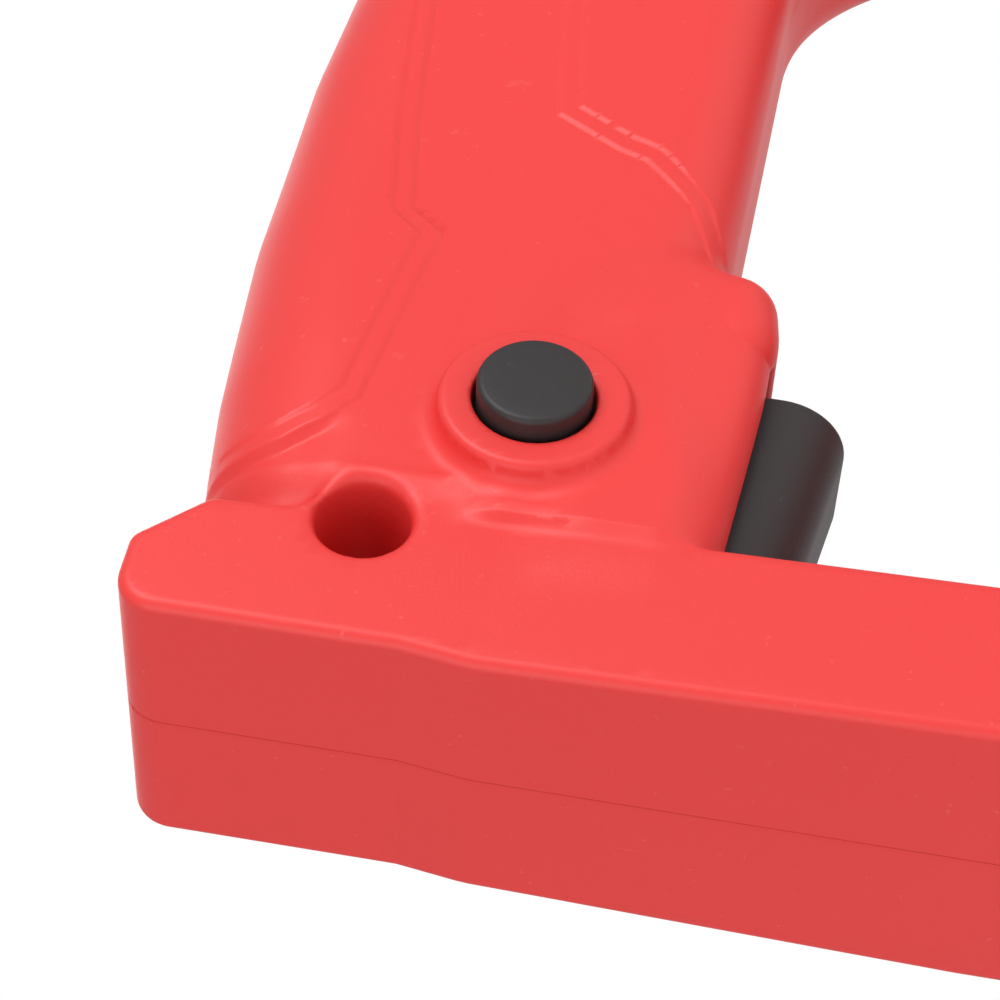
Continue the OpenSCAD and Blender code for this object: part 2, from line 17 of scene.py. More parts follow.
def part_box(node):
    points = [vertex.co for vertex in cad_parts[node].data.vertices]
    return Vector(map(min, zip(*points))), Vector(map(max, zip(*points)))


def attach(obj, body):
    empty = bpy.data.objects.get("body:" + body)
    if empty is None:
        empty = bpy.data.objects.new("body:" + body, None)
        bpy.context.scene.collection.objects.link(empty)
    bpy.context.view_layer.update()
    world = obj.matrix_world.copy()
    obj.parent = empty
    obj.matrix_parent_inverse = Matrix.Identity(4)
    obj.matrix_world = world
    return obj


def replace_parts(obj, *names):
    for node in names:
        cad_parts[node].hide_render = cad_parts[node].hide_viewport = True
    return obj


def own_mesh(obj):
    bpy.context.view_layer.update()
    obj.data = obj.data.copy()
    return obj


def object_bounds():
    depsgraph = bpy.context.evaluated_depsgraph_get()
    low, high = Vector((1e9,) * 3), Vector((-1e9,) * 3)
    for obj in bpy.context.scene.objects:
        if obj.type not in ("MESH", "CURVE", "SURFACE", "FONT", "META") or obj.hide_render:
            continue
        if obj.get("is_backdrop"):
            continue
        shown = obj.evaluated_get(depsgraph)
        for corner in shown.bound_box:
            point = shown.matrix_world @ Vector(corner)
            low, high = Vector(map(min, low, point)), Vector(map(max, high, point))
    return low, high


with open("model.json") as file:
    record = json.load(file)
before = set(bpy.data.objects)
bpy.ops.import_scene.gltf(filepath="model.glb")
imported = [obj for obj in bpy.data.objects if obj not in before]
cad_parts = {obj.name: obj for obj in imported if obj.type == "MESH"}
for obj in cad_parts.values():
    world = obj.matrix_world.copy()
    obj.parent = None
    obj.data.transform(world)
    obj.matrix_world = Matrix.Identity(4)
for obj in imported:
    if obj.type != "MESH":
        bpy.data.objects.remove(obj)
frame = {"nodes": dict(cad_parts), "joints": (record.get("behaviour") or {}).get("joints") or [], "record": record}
cad_box = [list(corner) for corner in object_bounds()]
nodes = frame["nodes"]
MM = 0.001
print("frame loaded:", len(nodes), "nodes; box", [round(v, 4) for c in cad_box for v in c])

# %% [markdown]
# The places that the looks need are read from the frame. The lock button is a round pin across the
# gun, so the middle of its box is the axis that the whole side view is drawn from.

# %% stations read from the frame
button_low, button_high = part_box("lock_button")
button_mid = (button_low + button_high) / 2
HOME = Vector((button_mid.x, 0.0, button_mid.z))
BUTTON_TOP = -button_low.y / MM
shell_low, shell_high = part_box("left_housing")
trigger_low, trigger_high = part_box("trigger")
PIVOT = Vector(next(j for j in frame["joints"] if j["name"] == "trigger_pull")["pos_m"])
SWING = math.radians(next(j for j in frame["joints"] if j["name"] == "trigger_pull")["range_deg"][1])


def from_button(point):
    """A point of the frame as (x, y, z) in millimetres from the lock button's axis."""
    return (Vector(point) - HOME) / MM


FRONT, _, FLOOR = from_button(shell_low)
REAR, _, TOP = from_button(shell_high)
print(f"shells run from x {FRONT:.1f} to {REAR:.1f} and z {FLOOR:.1f} to {TOP:.1f} mm")

# %% [markdown]
# Shader maths reads best as a formula. This small class wraps a node's output socket, so that
# `1 - mask * 0.3` adds its Math nodes by itself. Colours go through Mix nodes and any other node
# comes from `tree.node(type, settings, inputs)`.

# %% a wrapper that writes shader nodes as expressions
class Value:
    """A number socket in a node tree that can be used in Python arithmetic."""

    def __init__(self, tree, socket):
        self.tree, self.socket = tree, socket

    def _maths(self, operation, first, second):
        return self.tree.node("ShaderNodeMath", {"operation": operation}, {0: first, 1: second})

    def __add__(self, other):
        return self._maths("ADD", self, other)

    def __radd__(self, other):
        return self._maths("ADD", other, self)

    def __sub__(self, other):
        return self._maths("SUBTRACT", self, other)

    def __rsub__(self, other):
        return self._maths("SUBTRACT", other, self)

    def __mul__(self, other):
        return self._maths("MULTIPLY", self, other)

    def __rmul__(self, other):
        return self._maths("MULTIPLY", other, self)


class Finish:
    """A material under construction: one Principled shader and the nodes that feed it."""

    def __init__(self, name, **constants):
        self.material = bpy.data.materials.new(name)
        self.material.use_nodes = True
        self.nodes = self.material.node_tree.nodes
        self.links = self.material.node_tree.links
        self.shader = self.nodes["Principled BSDF"]
        for key, value in constants.items():
            self.shader.inputs[key.replace("_", " ").title().replace("Ior", "IOR")].default_value = value

    def node(self, kind, settings=None, inputs=None, output=0):
        """Adds one node: its settings first, then the values or links of its sockets."""
        made = self.nodes.new(kind)
        for key, value in (settings or {}).items():
            if key == "stops":
                ramp = made.color_ramp.elements
                while len(ramp) < len(value):
                    ramp.new(0.5)
                for element, (place, colour) in zip(ramp, value):
                    element.position, element.color = place, (*colour, 1)
            else:
                setattr(made, key, value)
        for key, value in (inputs or {}).items():
            self.feed(made.inputs[key], value)
        return Value(self, made.outputs[output])

    def feed(self, socket, value):
        if isinstance(value, Value):
            self.links.new(value.socket, socket)
        elif hasattr(value, "__len__") and len(value) == 3 and socket.type == "RGBA":
            socket.default_value = (*value, 1)
        else:
            socket.default_value = value

    def place(self):
        return self.node("ShaderNodeTexCoord", output="Object")

    def noise(self, scale, detail=3.0, roughness=0.5, where=None):
        vector = where or self.place()
        return self.node("ShaderNodeTexNoise", {},
                         {"Vector": vector, "Scale": scale, "Detail": detail, "Roughness": roughness})

    def steps(self, value, *stops):
        """A ramp from a number to a number, given as (place, height) stops."""
        grey = [(place, (height,) * 3) for place, height in stops]
        return self.node("ShaderNodeValToRGB", {"stops": grey}, {0: value})

    def mix(self, factor, first, second):
        return self.node("ShaderNodeMix", {"data_type": "RGBA"},
                         {"Factor": factor, 6: first, 7: second}, output=2)

    def stretched(self, sizes):
        return self.node("ShaderNodeVectorMath", {"operation": "MULTIPLY"},
                         {0: self.place(), 1: sizes})

    def bump(self, height, strength, distance):
        normal = self.node("ShaderNodeBump", {}, {"Height": height, "Strength": strength,
                                                  "Distance": distance})
        self.feed(self.shader.inputs["Normal"], normal)

    def set(self, **links):
        for key, value in links.items():
            self.feed(self.shader.inputs[key.replace("_", " ").title()], value)
        return self


print("shader helpers ready")

# %% [markdown]
# The shells are moulded nylon: a saturated red whose colour drifts a little with the flow of the
# melt, a very fine satin texture from the mould's spark erosion, and the odd pale speck and scuff
# from handling. The texture is only microns deep, so bump is right for it and geometry isn't.

# %% moulded plastics
def moulded(name, colour, roughness, grain=0.35, specks=0.0, wear=None):
    """Injection moulded plastic with a spark-eroded satin, drift in its colour, and fine scuffs."""
    finish = Finish(name, roughness=roughness)
    drift = finish.noise(14, 3)
    deep = tuple(c * 0.93 for c in colour)
    tint = finish.mix(drift, deep, colour)
    dust = finish.steps(finish.noise(850, 2), (0.70, 0.0), (0.78, 1.0))
    scratch = finish.steps(finish.noise(5, 5, 0.6, finish.stretched((40, 260, 25))), (0.70, 0), (0.76, 1))
    marks = dust * specks + scratch * (specks * 0.6)
    tint = finish.mix(marks, tint, wear or tuple(min(1, c * 1.5 + 0.25) for c in colour))
    fine = finish.noise(2600, 4, 0.65)
    finish.set(base_color=tint, roughness=fine * 0.12 + (roughness - 0.06) + marks * 0.1)
    finish.bump(fine + dust * specks, grain, 0.00006)
    return finish.material


shell_red = moulded("shell_red", (0.80, 0.040, 0.036), 0.46, 0.30, 0.16, (0.95, 0.30, 0.28))
button_black = moulded("button_black", (0.020, 0.016, 0.016), 0.50, 0.45, 0.05)
latch_black = moulded("latch_black", (0.022, 0.022, 0.023), 0.42, 0.40, 0.04)
switch_black = moulded("switch_black", (0.03, 0.03, 0.033), 0.40)
switch_red = moulded("switch_red", (0.55, 0.03, 0.025), 0.40)
bobbin_nylon = moulded("bobbin_nylon", (0.78, 0.73, 0.60), 0.50)
terminal_white = moulded("terminal_white", (0.78, 0.78, 0.73), 0.45)
bumper_rubber = moulded("bumper_rubber", (0.018, 0.018, 0.018), 0.72, 0.6)
lead_sleeve = moulded("lead_sleeve", (0.05, 0.04, 0.035), 0.45, 0.2)
print("plastics:", len(bpy.data.materials))

# %% [markdown]
# Steel parts come in a few surfaces: zinc plated sheet with rolling lines along its length, ground
# tool steel, drawn spring wire, and black coated sheet on the magazine. One function draws the
# lines by stretching noise along a direction; the coating is the same with a dielectric shader.

# %% metals
def worked_steel(name, colour, roughness, lines=(30, 900, 900), metallic=1.0, grain=0.25):
    """Steel with the fine lines that rolling, grinding or drawing leaves along one direction."""
    finish = Finish(name, roughness=roughness, metallic=metallic)
    grooves = finish.noise(3, 5, 0.6, finish.stretched(lines))
    cloud = finish.noise(60, 3)
    tint = finish.mix(cloud * 0.6, colour, tuple(c * 0.72 for c in colour))
    finish.set(base_color=tint, roughness=grooves * 0.22 + cloud * 0.10 + (roughness - 0.12))
    finish.bump(grooves, grain, 0.00004)
    return finish.material


bright_steel = worked_steel("bright_steel", (0.66, 0.67, 0.69), 0.34)
tool_steel = worked_steel("tool_steel", (0.34, 0.35, 0.37), 0.30, (900, 900, 40))
spring_steel = worked_steel("spring_steel", (0.50, 0.50, 0.52), 0.28, (700, 700, 700))
screw_steel = worked_steel("screw_steel", (0.16, 0.16, 0.17), 0.36, (800, 60, 800))
magazine_black = worked_steel("magazine_black", (0.030, 0.030, 0.032), 0.40, (700, 700, 700), 0.0, 0.4)
aluminium_fin = worked_steel("aluminium_fin", (0.76, 0.77, 0.78), 0.36, (900, 900, 60))
capacitor_blue = worked_steel("capacitor_blue", (0.03, 0.045, 0.22), 0.25, (60, 60, 60), 0.0, 0.1)
board_green = worked_steel("board_green", (0.015, 0.13, 0.045), 0.25, (500, 500, 500), 0.0, 0.3)


def wound_copper(name):
    """Enamelled copper wire wound in close turns: a band for each turn along the coil's axis, coloured with
    painted shade between turns and a painted highlight on each turn.
    """
    finish = Finish(name, roughness=0.30, metallic=0.9)
    turns = finish.node("ShaderNodeTexWave", {"wave_type": "BANDS", "bands_direction": "Z"},
                        {"Vector": finish.place(), "Scale": 380.0, "Distortion": 0.15})
    # The colour runs from dark to bright copper across each turn: the dark part is painted shade between the
    # turns, the bright part a painted highlight on each turn's crown.
    tint = finish.mix(turns, (0.30, 0.10, 0.04), (0.75, 0.34, 0.15))
    finish.set(base_color=tint)
    finish.bump(turns, 0.6, 0.0002)
    return finish.material


copper_winding = wound_copper("copper_winding")
print("finishes:", sorted(m.name for m in bpy.data.materials))

# %% [markdown]
# The shells are full of soft blends: the handle rolls into the tower, a filleted ring rises round
# the button, the trigger lug melts into the grip. Pushing polygons by hand for that is slow and
# never quite round. Instead the shape is written as a distance: a function that is negative inside
# the plastic and positive outside. Blends, fillets, pockets and walls are then one line each.

# %% distances in the side view
def rounded(corners):
    """A closed outline from (x, z, radius) corners, each turned into an arc of short steps."""
    outline = []
    for k, (x, z, radius) in enumerate(corners):
        here = Vector((x, z))
        before = Vector(corners[k - 1][:2]) - here
        after = Vector(corners[(k + 1) % len(corners)][:2]) - here
        half = before.angle(after) / 2
        reach = min(radius / math.tan(half), before.length * 0.49, after.length * 0.49)
        radius = reach * math.tan(half)
        if radius < 0.05:
            outline.append((x, z))
            continue
        centre = here + (before.normalized() + after.normalized()).normalized() * (radius / math.sin(half))
        start = here + before.normalized() * reach - centre
        end = here + after.normalized() * reach - centre
        turn = start.angle_signed(end)
        steps = max(4, math.ceil(abs(turn) * math.sqrt(radius) * 4.5))
        for step in range(steps + 1):
            angle = -turn * step / steps
            c, s = math.cos(angle), math.sin(angle)
            outline.append((centre.x + start.x * c - start.y * s, centre.y + start.x * s + start.y * c))
    return outline


def outline_distance(x, z, outline):
    """Signed distance to a closed outline in the side view, negative inside."""
    nearest = np.full(np.broadcast(x, z).shape, 1e9)
    inside = np.zeros(nearest.shape, bool)
    for (ax, az), (bx, bz) in zip(outline, outline[1:] + outline[:1]):
        ex, ez = bx - ax, bz - az
        t = np.clip(((x - ax) * ex + (z - az) * ez) / (ex * ex + ez * ez + 1e-12), 0, 1)
        nearest = np.minimum(nearest, (x - ax - ex * t) ** 2 + (z - az - ez * t) ** 2)
        if az != bz:
            crossing = ((az > z) != (bz > z)) & (x < ex * (z - az) / ez + ax)
            inside = inside ^ crossing
    return np.where(inside, -1.0, 1.0) * np.sqrt(nearest)


class SideView:
    """Distance to an outline, worked out once on a fine grid of the side view and read from there."""
    cell = 0.2

    def __init__(self, outline):
        self.x = np.arange(FRONT - 6, REAR + 6, self.cell)
        self.z = np.arange(FLOOR - 6, TOP + 6, self.cell)
        self.table = outline_distance(self.x[:, None], self.z[None, :], outline)

    def __call__(self, x, z):
        i = np.clip((x - self.x[0]) / self.cell, 0, len(self.x) - 2.001)
        k = np.clip((z - self.z[0]) / self.cell, 0, len(self.z) - 2.001)
        i0, k0 = i.astype(int), k.astype(int)
        u, w, t = i - i0, k - k0, self.table
        low = t[i0, k0] * (1 - u) + t[i0 + 1, k0] * u
        high = t[i0, k0 + 1] * (1 - u) + t[i0 + 1, k0 + 1] * u
        return low * (1 - w) + high * w


print("side views are read on a grid of", SideView.cell, "mm")

# %% [markdown]
# Moulded plastic has no sharp inner corners, so shapes are joined with a fillet and cut with an
# eased edge. These four helpers work on distances only, so they serve every piece alike.

# %% blends of distances
def blend_union(a, b, k):
    """Union of two shapes with a fillet about k wide where they meet."""
    h = np.maximum(k - np.abs(a - b), 0) / k
    return np.minimum(a, b) - h * h * k / 4


def blend_cut(a, b, k):
    """Shape a with shape b taken out of it, the edge rounded about k wide."""
    return -blend_union(-a, b, k)


def edged(side, depth, radius):
    """A slab with outline distance `side` and depth distance `depth`, its edges rounded."""
    s, d = side + radius, depth + radius
    return np.hypot(np.maximum(s, 0), np.maximum(d, 0)) + np.minimum(np.maximum(s, d), 0) - radius


def ease(value, low, high):
    """0 below low, 1 above high, and a smooth S between."""
    t = np.clip((value - low) / (high - low), 0, 1)
    return t * t * (3 - 2 * t)


print("distance helpers ready")

# %% [markdown]
# The outlines below are the gun's side view, in millimetres from the lock button's axis, with +x to
# the rear and +z up. Each corner carries its radius. The tower's front steps out a millimetre below
# the head in a soft S, and the head's rear corner is chamfered down to the neck band of the handle.

# %% outlines of the shells
WALL = 2.5
HEAD_Y, TOWER_Y, GRIP_Y = 18.5, 20.2, 17.2
NECK_BACK = -13.7
BROW = FRONT + 1.0
SHOULDER, BLOCK_BACK = -56.0, FRONT + 44.9
BEAM_TOP = -112.0
GRIP_LOW, LUG_LOW, LUG_BACK = -19.3, -25.3, 28.3
COLUMN_FRONT, BOW = REAR - 25.0, 34.0
ARCH_TOP, ARCH_MID, ARCH_R = 36.8, 43.0, 372.0

tower_outline = rounded([
    (FRONT, FLOOR, 5), (FRONT, 0.4, 4), (BROW, 7.8, 4), (BROW, 36.7, 4.6), (-22.9, 36.7, 2.0),
    (-16.3, 30.0, 2.5), (-15.8, 21, 3), (-9.5, 17.5, 3), (-9.5, 6, 3), (NECK_BACK, 2, 3),
    (NECK_BACK, SHOULDER, 6), (BLOCK_BACK, SHOULDER, 7), (BLOCK_BACK, FLOOR, 5)])
lug_outline = rounded([
    (-20, -4, 1), (-20, LUG_LOW + 0.4, 1), (11.5, LUG_LOW, 6), (20.3, -23.9, 8),
    (LUG_BACK + 0.3, -22.6, 5.5), (LUG_BACK + 0.8, -10, 6), (18, -4, 2)])


def arch(x):
    """Height of the handle's back over its length: a long shallow arc."""
    return ARCH_TOP - (x - ARCH_MID) ** 2 / (2 * ARCH_R)


back_line = [(x, arch(x), 60) for x in (60, 30, 5, -8)]
frame_outline = rounded([
    (-30, 30.5, 3), (-30, FLOOR, 1), (REAR, FLOOR, 7), (REAR, arch(REAR) + 2, 30), (105, arch(105), 90),
    (82, arch(82), 60), *back_line])
opening_outline = rounded([
    (-40, -17, 1), (30, -17.2, 40), (COLUMN_FRONT, GRIP_LOW, BOW), (COLUMN_FRONT, BEAM_TOP, 12),
    (-40, BEAM_TOP, 1)])

palm_line = [(112, 26.5), (75, 23.6), (46, 20.7), (30.6, 18.3), (27, 14.4), (21.6, 15.1),
             (-0.6, 18.0), (-4.5, 21.0), (-7.2, 24.9), (-8.4, 29.0), (-9.0, 60.0)]
finger_line = [(31, -15.0), (38.1, -11.6), (44.3, -5.7), (45.4, -2.6), (50.2, 5.4), (73.2, 8.3),
               (112, 11.5)]
palm_side = SideView([*palm_line, (112, 60)])
finger_side = SideView([*finger_line, (112, -40), (31, -40)])
tower_side, frame_side = SideView(tower_outline), SideView(frame_outline)
opening_side, lug_side = SideView(opening_outline), SideView(lug_outline)
print("outlines:", len(tower_outline), len(frame_outline), len(opening_outline), "points")

# %% [markdown]
# Holes and pockets. Their places come from the frame's own solids: the screws give the counterbored
# holes in the right shell, the trigger and its pin give the slot, and the coil gives the vents.

# %% places of holes
screw_mesh = nodes["housing_screws"].data
screw_points = np.array([v.co for v in screw_mesh.vertices])
screw_points = screw_points[screw_points[:, 1] > screw_points[:, 1].max() - 1e-5]
SCREWS = []
for p in screw_points:
    q = from_button(p)
    if all(math.hypot(q.x - s[0], q.z - s[1]) > 9 for s in SCREWS):
        near = [from_button(r) for r in screw_points if (Vector(r) - Vector(p)).length < 9 * MM]
        xs, zs = [n.x for n in near], [n.z for n in near]
        SCREWS.append(((min(xs) + max(xs)) / 2, (min(zs) + max(zs)) / 2))
record = frame["record"]
hole = next(m for m in record["mounts"] if m["name"] == "hanging_hole")
HANG = from_button(hole["pos_m"])
HANG_R = hole["dims"]["r_mm"]
BUTTON_R = (button_high.x - button_low.x) / 2 / MM - 1.5
BORE_R = BUTTON_R + 0.45
t_low, t_high = from_button(trigger_low), from_button(trigger_high)
TRIGGER = (t_low.x, t_high.x, t_low.z, t_high.y)
pivot = from_button(PIVOT)
SLOT = (t_low.x - 0.4, t_high.x + (pivot.z - t_low.z) * math.sin(SWING), t_high.y + 0.4)
coil_low, coil_high = (from_button(c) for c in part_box("yoke"))
gland_low, gland_high = (from_button(c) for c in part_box("cord_gland"))
GLAND_Z, GLAND_R = (gland_low.z + gland_high.z) / 2, (gland_high.z - gland_low.z) / 2
print(len(SCREWS), "screws;", "slot", [round(v, 1) for v in SLOT], "button radius", round(BUTTON_R, 2))

# %% [markdown]
# The plastic itself, from the outside in: the handle with its raised panels, the lug over the
# trigger, the tower and the ring round the button give the outer shape. The cavity is the same
# shape drawn in by the wall, and posts for the screws are left standing in it.

# %% the distance to the plastic
POST_R, SINK_R, SINK_Y = 4.4, 3.5, 9.5
RING_R, RING_Y, LUG_Y = 10.0, 22.4, 18.9
VENTS, VENT_START, VENT_PITCH = 5, 6, 5.5
VENT_LENGTH_HALF, VENT_HEIGHT_HALF, VENT_INNER_Y = 11, 1.1, 14


def grip_depth(x, z):
    """Half thickness of the handle: full at its root, slimmer along the grip, with raised panels."""
    below = 1 - ease(z, 1, 9)
    rise = below * ease(x, -15.6, -13.4) + (1 - below) * ease(x, -14, -9.5)
    root = 17.2 + (1.7 + 0.7 * below) * rise
    grip = GRIP_Y + (root - GRIP_Y) * (1 - ease(x, 4, 46))
    p, f = palm_side(x, z), finger_side(x, z)
    palm = 0.3 * ease(-p, -0.2, 0.6) + 0.3 * ease(-p, 2.0, 2.8)
    finger = 0.3 * ease(-f, -0.2, 0.6) + 0.3 * ease(-f, 2.2, 3.0)
    neck = ease(p, -0.4, 1.0) * ease(z, 17, 23) * (1 - ease(x, -6, -2)) * (1 - ease(-x, 14.5, 16.5))
    return grip + (palm + finger) * (1 - ease(x, 92, 108)) - 0.9 * neck


def solid_distance(x, y, z):
    """Signed distance to the gun's outer shape with no holes, both shells together."""
    depth = np.abs(y)
    tower = edged(tower_side(x, z),
                  depth - (HEAD_Y + (TOWER_Y - HEAD_Y) * np.clip(-z / 51, 0, 1)), 1.3)
    side = np.maximum(frame_side(x, z), -opening_side(x, z))
    low = ease(-z, 60, 100)
    roll = 9.0 + 5.0 * ease(z, -4, 14) - 6.0 * low
    roll = roll - 6.0 * (1 - ease(x, -6, 10)) * (1 - ease(z, 8, 16))
    grip = edged(side, depth - grip_depth(x, z) * (1 - low) - TOWER_Y * low, roll)
    lug = edged(lug_side(x, z), depth - LUG_Y, 5.0)
    flank = edged(-22.2 - 0.08 * (x + 2) - z, depth - LUG_Y, 6.5)
    lug = -blend_union(-lug, -np.minimum(flank, (TRIGGER[1] + 1.2 - x) * 0.5), 3.0)
    body = blend_union(grip, lug, 5.0)
    body = np.maximum(blend_union(body, tower, 1.6), np.maximum(FLOOR - z, depth - TOWER_Y))
    ring = edged(np.hypot(x, z) - RING_R, np.where(y < 0, depth, 0) - RING_Y, 0.9)
    ring = np.maximum(ring, y + 12.0)
    return blend_union(body, ring, 2.4)


def shell_distance(x, y, z):
    """Signed distance to the plastic of both shells: outer shape, cavity, holes and slots."""
    solid = solid_distance(x, y, z)
    depth = np.abs(y)
    eye = np.hypot(x - HANG.x, z - HANG.z) - HANG_R - WALL
    kept = np.minimum(eye, np.hypot(x, z) - BORE_R - 1.8 + (y > -9) * 99)
    for sx, sz in SCREWS:
        kept = np.minimum(kept, np.hypot(x - sx, z - sz) - POST_R)
    cavity = np.maximum(solid + WALL, -kept)
    shape = np.maximum(solid, -cavity)
    shape = blend_cut(shape, np.hypot(x - HANG.x, z - HANG.z) - HANG_R, 1.6)
    bore = np.maximum(np.hypot(x, z) - BORE_R, y + 8.0)
    shape = blend_cut(shape, bore, 0.5)
    slot = np.maximum(np.maximum(SLOT[0] - x, x - SLOT[1]), np.maximum(depth - SLOT[2], z - LUG_LOW - 4.5))
    shape = blend_cut(shape, slot, 1.4)
    gland = np.maximum(np.hypot(y, z - GLAND_Z) - GLAND_R - 0.05, REAR - 1.2 - x)
    gland = np.minimum(gland, np.maximum(np.hypot(y, z - GLAND_Z) - GLAND_R + 1.9, REAR - 6 - x))
    shape = blend_cut(shape, gland, 0.4)
    for sx, sz in SCREWS:
        sink = np.maximum(np.hypot(x - sx, z - sz) - SINK_R, SINK_Y - y)
        shape = blend_cut(shape, sink, 0.7)
    middle = (coil_low.x + coil_high.x) / 2
    for k in range(VENTS):
        low = coil_low.z + VENT_START + k * VENT_PITCH
        height = np.abs(z - low - VENT_HEIGHT_HALF) - VENT_HEIGHT_HALF
        vent = np.maximum(np.abs(x - middle) - VENT_LENGTH_HALF, height)
        vent = np.maximum(vent, VENT_INNER_Y - depth)
        shape = blend_cut(shape, vent, 0.8)
    return shape


print("wall", WALL, "mm;", VENTS, "vents; ring", round(RING_Y - HEAD_Y, 1), "mm above the head")

# %% [markdown]
# A distance becomes a mesh by the surface net method: one vertex in each grid cell that the surface
# passes through, and one quad across each grid edge that it cuts. The vertices are then slid onto
# the true surface, and the shading normals are taken from the distance itself, so soft fillets shade
# as smoothly as the formula and not as the grid.

# %% from distance to mesh
def grid(low, high, step):
    return [np.arange(a, b + step, step) for a, b in zip(low, high)]


def surface_net(distance, axes):
    """Vertices, quads and cells where the distance is zero, on a grid with the given axes."""
    field = np.empty([len(a) for a in axes], np.float32)
    for j, y in enumerate(axes[1]):
        field[:, j, :] = distance(axes[0][:, None], np.float64(y), axes[2][None, :])
    inside = field < 0
    corner = [(i, j, k) for i in (0, 1) for j in (0, 1) for k in (0, 1)]
    n = [s - 1 for s in field.shape]
    count = sum(inside[i:n[0] + i, j:n[1] + j, k:n[2] + k].astype(np.int8) for i, j, k in corner)
    cells = np.argwhere((count > 0) & (count < 8))
    number = np.full(n, -1, np.int32)
    number[tuple(cells.T)] = np.arange(len(cells))
    values = {c: field[tuple((cells + c).T)] for c in corner}
    total, hits = np.zeros((len(cells), 3)), np.zeros(len(cells))
    for a in corner:
        for axis in range(3):
            if a[axis] == 0:
                b = tuple(v + (i == axis) for i, v in enumerate(a))
                cut = (values[a] < 0) != (values[b] < 0)
                t = np.where(cut, values[a] / np.where(cut, values[a] - values[b], 1), 0)
                point = np.array(a, float) + np.outer(t, np.eye(3)[axis])
                total += np.where(cut[:, None], point, 0)
                hits += cut
    part = total / hits[:, None]
    vertices = np.stack([a[c] + p * (a[c + 1] - a[c]) for a, c, p in zip(axes, cells.T, part.T)], 1)
    quads = []
    for axis in range(3):
        u, v = [(1, 2), (2, 0), (0, 1)][axis]
        ahead = np.moveaxis(inside, axis, 0)
        change = np.moveaxis(ahead[1:] != ahead[:-1], 0, axis)
        edges = np.argwhere(change)
        edges = edges[(edges[:, u] > 0) & (edges[:, v] > 0) & (edges[:, u] < n[u]) & (edges[:, v] < n[v])]
        ring = []
        for du, dv in ((0, 0), (1, 0), (1, 1), (0, 1)):
            at = edges.copy()
            at[:, u] -= du
            at[:, v] -= dv
            ring.append(number[tuple(at.T)])
        ring = np.stack(ring, 1)
        flip = ~inside[tuple(edges.T)]
        ring[flip] = ring[flip][:, ::-1]
        quads.append(ring)
    return vertices, np.concatenate(quads), cells, inside


def slope(distance, p, reach=0.1):
    """The gradient of the distance at each point of an array."""
    rise = []
    for axis in range(3):
        ahead, behind = p.copy(), p.copy()
        ahead[:, axis] += reach
        behind[:, axis] -= reach
        rise.append(distance(*ahead.T) - distance(*behind.T))
    return np.stack(rise, 1) / (2 * reach)


def settle(distance, p, held=None, rounds=2, most=0.5):
    """Slides points onto the surface. Points that are held stay at their own y."""
    for _ in range(rounds):
        here, g = distance(*p.T), slope(distance, p)
        if held is not None:
            g[held > 0, 1] = 0
        move = g * (here / np.maximum((g * g).sum(1), 0.05))[:, None]
        far = np.linalg.norm(move, axis=1, keepdims=True)
        move = move * np.minimum(1, most / np.maximum(far, 1e-9))
        if held is not None:
            move[held == CAP] = 0
        p = p - move
    return p


FREE, RIM, CAP = 0, 1, 2


def mesh_object(name, vertices, faces, material):
    """A new object whose mesh is in metres in the frame, smooth shaded."""
    mesh = bpy.data.meshes.new(name)
    mesh.from_pydata([tuple(v) for v in vertices], [], [tuple(int(i) for i in f) for f in faces])
    mesh.materials.append(material)
    mesh.shade_smooth()
    made = bpy.data.objects.new(name, mesh)
    bpy.context.scene.collection.objects.link(made)
    return made


print("surface net ready")

# %% [markdown]
# Tight fillets need a finer mesh than broad faces. Wherever the surface turns more than a few
# degrees along an edge, the edge gets a vertex in its middle and its triangles are split to suit.

# %% finer where it curves
def near_bevel(p):
    """Which points lie beside the bevels of the handle's panels, on its outside."""
    x, y, z = p.T
    near = [(side(x, z) > -3.5) & (side(x, z) < 0.9) for side in (palm_side, finger_side)]
    return (near[0] | near[1]) & (x > -18) & (x < 106) & (z > -17) & (np.abs(y) > 12)


